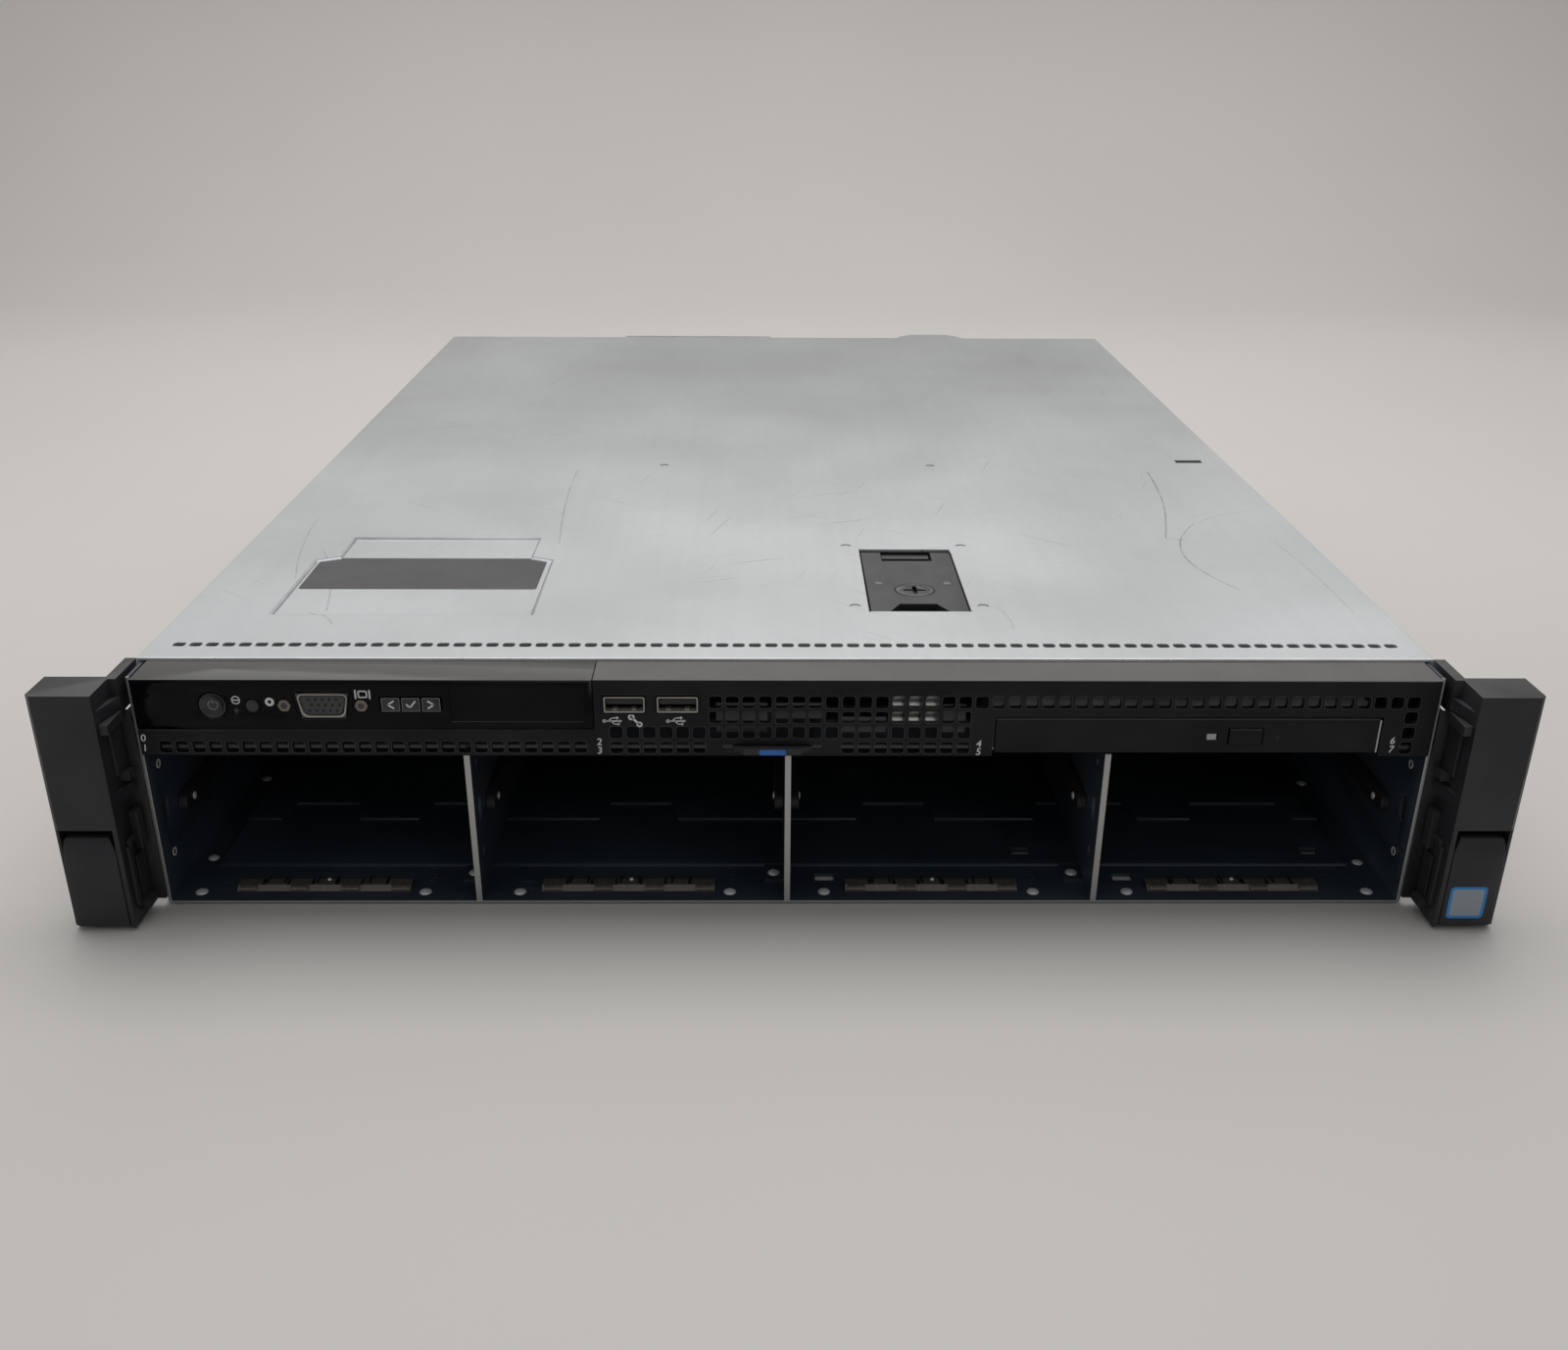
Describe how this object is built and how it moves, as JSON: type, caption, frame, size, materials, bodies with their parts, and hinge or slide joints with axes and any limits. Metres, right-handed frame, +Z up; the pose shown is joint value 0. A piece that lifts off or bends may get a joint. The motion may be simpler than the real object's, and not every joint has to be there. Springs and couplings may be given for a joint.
{
  "type": "rack server",
  "caption": "Two-unit rack server with empty drive bays, black front panel and ears, galvanised sliding top cover, fans, hot-swap power supplies and an optical drive.",
  "frame": {"origin": "on the underside of the chassis, midway between the ears, at the plane of the rack posts", "axes": "+X to the right seen from the front, +Y into the rack, away from the front, +Z up"},
  "size_m": [0.4824, 0.6454, 0.0868],
  "materials": {
    "cover_steel": "galvanised sheet, satin, with fine scratches",
    "chassis_paint": "smooth dark paint with bare cut edges",
    "bare_steel": "plain zinc-plated steel",
    "contact_metal": "tarnished spring bronze",
    "black_plastic": "fine matt grain",
    "gloss_black": "smooth and shiny",
    "key_grey": "smooth",
    "board": "solder mask",
    "connector_plastic": "moulded",
    "port_shell": "nickel-plated shell",
    "port_blue": "moulded",
    "heat_sink_metal": "extruded",
    "fan_plastic": "moulded",
    "supply_metal": "plated sheet",
    "release_orange": "moulded"
  },
  "bodies": {
    "chassis": {"chassis_tray": "chassis_paint", "rear_panel": "cover_steel", "drive_bay_shelf": "chassis_paint", "bay_divider_1": "chassis_paint", "bay_divider_2": "chassis_paint", "bay_divider_3": "chassis_paint", "drive_guides": "black_plastic", "contact_strips": "contact_metal", "floor_rivets": "bare_steel", "backplane": "board", "drive_connectors": "connector_plastic", "front_panel": "black_plastic", "control_panel": "gloss_black", "control_board": "board", "video_port": "port_blue", "usb_ports": "port_shell", "optical_drive": "bare_steel", "ear_left": "black_plastic", "ear_right": "black_plastic", "rack_bracket_left": "chassis_paint", "rack_bracket_right": "chassis_paint", "rail_studs": "bare_steel", "fan_frame_1": "fan_plastic", "fan_frame_2": "fan_plastic", "fan_frame_3": "fan_plastic", "fan_frame_4": "fan_plastic", "system_board": "board", "heat_sink_1": "heat_sink_metal", "heat_sink_2": "heat_sink_metal", "memory_modules": "board", "air_shroud": "black_plastic", "expansion_riser": "board", "rear_ports": "port_shell", "slot_covers": "bare_steel", "psu_cage": "bare_steel"},
    "cover": {"top_cover": "cover_steel", "latch_pan": "black_plastic"},
    "latch_lever": {"cover_latch": "black_plastic"},
    "lock_disc": {"latch_lock": "key_grey"},
    "power_key": {"power_button": "key_grey"},
    "locate_key": {"id_button": "key_grey"},
    "diagnostic_key": {"nmi_button": "key_grey"},
    "menu_key_left": {"menu_button_left": "key_grey"},
    "menu_key_select": {"menu_button_select": "key_grey"},
    "menu_key_right": {"menu_button_right": "key_grey"},
    "tag": {"information_tag": "black_plastic"},
    "tray": {"disc_tray": "black_plastic"},
    "eject_key": {"eject_button": "black_plastic"},
    "hub": {"disc_hub": "black_plastic"},
    "rack_latch_left": {"slam_latch_left": "black_plastic"},
    "rack_latch_right": {"slam_latch_right": "black_plastic"},
    "rotor_1": {"fan_rotor_1": "fan_plastic"},
    "rotor_2": {"fan_rotor_2": "fan_plastic"},
    "rotor_3": {"fan_rotor_3": "fan_plastic"},
    "rotor_4": {"fan_rotor_4": "fan_plastic"},
    "supply_1": {"power_supply_1": "supply_metal"},
    "supply_2": {"power_supply_2": "supply_metal"},
    "supply_lever_1": {"supply_latch_1": "release_orange"},
    "supply_lever_2": {"supply_latch_2": "release_orange"},
    "retainer": {"slot_retainer": "bare_steel"}
  },
  "joints": [
    {"name": "cover_slide", "type": "slide", "parent": "chassis", "child": "cover", "axis": [0, 1, 0], "range_m": [0, 0.011]},
    {"name": "cover_latch_lift", "type": "hinge", "parent": "cover", "child": "latch_lever", "pos_m": [0.0486, 0.1289, 0.0826], "axis": [-1, 0, 0], "range_deg": [0, 75]},
    {"name": "latch_lock_turn", "type": "hinge", "parent": "latch_lever", "child": "lock_disc", "pos_m": [0.0486, 0.0843, 0.0868], "axis": [0, 0, 1], "range_deg": [0, 90]},
    {"name": "power_button_press", "type": "slide", "parent": "chassis", "child": "power_key", "axis": [0, 1, 0], "range_m": [0, 0.001], "stiffness_N_per_m": 400},
    {"name": "id_button_press", "type": "slide", "parent": "chassis", "child": "locate_key", "axis": [0, 1, 0], "range_m": [0, 0.0006], "stiffness_N_per_m": 300},
    {"name": "nmi_button_press", "type": "slide", "parent": "chassis", "child": "diagnostic_key", "axis": [0, 1, 0], "range_m": [0, 0.0006], "stiffness_N_per_m": 300},
    {"name": "menu_left_press", "type": "slide", "parent": "chassis", "child": "menu_key_left", "axis": [0, 1, 0], "range_m": [0, 0.0006], "stiffness_N_per_m": 300},
    {"name": "menu_select_press", "type": "slide", "parent": "chassis", "child": "menu_key_select", "axis": [0, 1, 0], "range_m": [0, 0.0006], "stiffness_N_per_m": 300},
    {"name": "menu_right_press", "type": "slide", "parent": "chassis", "child": "menu_key_right", "axis": [0, 1, 0], "range_m": [0, 0.0006], "stiffness_N_per_m": 300},
    {"name": "tag_pull", "type": "slide", "parent": "chassis", "child": "tag", "axis": [0, -1, 0], "range_m": [0, 0.058]},
    {"name": "tray_slide", "type": "slide", "parent": "chassis", "child": "tray", "axis": [0, -1, 0], "range_m": [0, 0.12]},
    {"name": "eject_press", "type": "slide", "parent": "tray", "child": "eject_key", "axis": [0, 1, 0], "range_m": [0, 0.0008], "stiffness_N_per_m": 300},
    {"name": "disc_hub_spin", "type": "hinge", "parent": "tray", "child": "hub", "pos_m": [0.132, 0.0617, 0.0663], "axis": [0, 0, 1], "continuous": true},
    {"name": "slam_latch_left_lift", "type": "slide", "parent": "chassis", "child": "rack_latch_left", "axis": [0, 0, 1], "range_m": [0, 0.0034], "stiffness_N_per_m": 200},
    {"name": "slam_latch_right_lift", "type": "slide", "parent": "chassis", "child": "rack_latch_right", "axis": [0, 0, 1], "range_m": [0, 0.0034], "stiffness_N_per_m": 200},
    {"name": "fan_1_spin", "type": "hinge", "parent": "chassis", "child": "rotor_1", "pos_m": [-0.159, 0.182, 0.0415], "axis": [0, 1, 0], "continuous": true},
    {"name": "fan_2_spin", "type": "hinge", "parent": "chassis", "child": "rotor_2", "pos_m": [-0.053, 0.182, 0.0415], "axis": [0, 1, 0], "continuous": true},
    {"name": "fan_3_spin", "type": "hinge", "parent": "chassis", "child": "rotor_3", "pos_m": [0.053, 0.182, 0.0415], "axis": [0, 1, 0], "continuous": true},
    {"name": "fan_4_spin", "type": "hinge", "parent": "chassis", "child": "rotor_4", "pos_m": [0.159, 0.182, 0.0415], "axis": [0, 1, 0], "continuous": true},
    {"name": "supply_1_slide", "type": "slide", "parent": "chassis", "child": "supply_1", "axis": [0, 1, 0], "range_m": [0, 0.175]},
    {"name": "supply_1_release", "type": "hinge", "parent": "supply_1", "child": "supply_lever_1", "pos_m": [0.204, 0.607, 0.0075], "axis": [0, 1, 0], "range_deg": [0, 12], "stiffness_Nm_per_rad": 0.05},
    {"name": "supply_2_slide", "type": "slide", "parent": "chassis", "child": "supply_2", "axis": [0, 1, 0], "range_m": [0, 0.175]},
    {"name": "supply_2_release", "type": "hinge", "parent": "supply_2", "child": "supply_lever_2", "pos_m": [0.204, 0.607, 0.0481], "axis": [0, 1, 0], "range_deg": [0, 12], "stiffness_Nm_per_rad": 0.05},
    {"name": "slot_retainer_open", "type": "hinge", "parent": "chassis", "child": "retainer", "pos_m": [-0.0526, 0.6095, 0.0734], "axis": [-1, 0, 0], "range_deg": [0, 80]}
  ],
  "couplings": [
    {"joint": "cover_latch_lift", "follows": "cover_slide", "rad_per_m": 118.84}
  ]
}
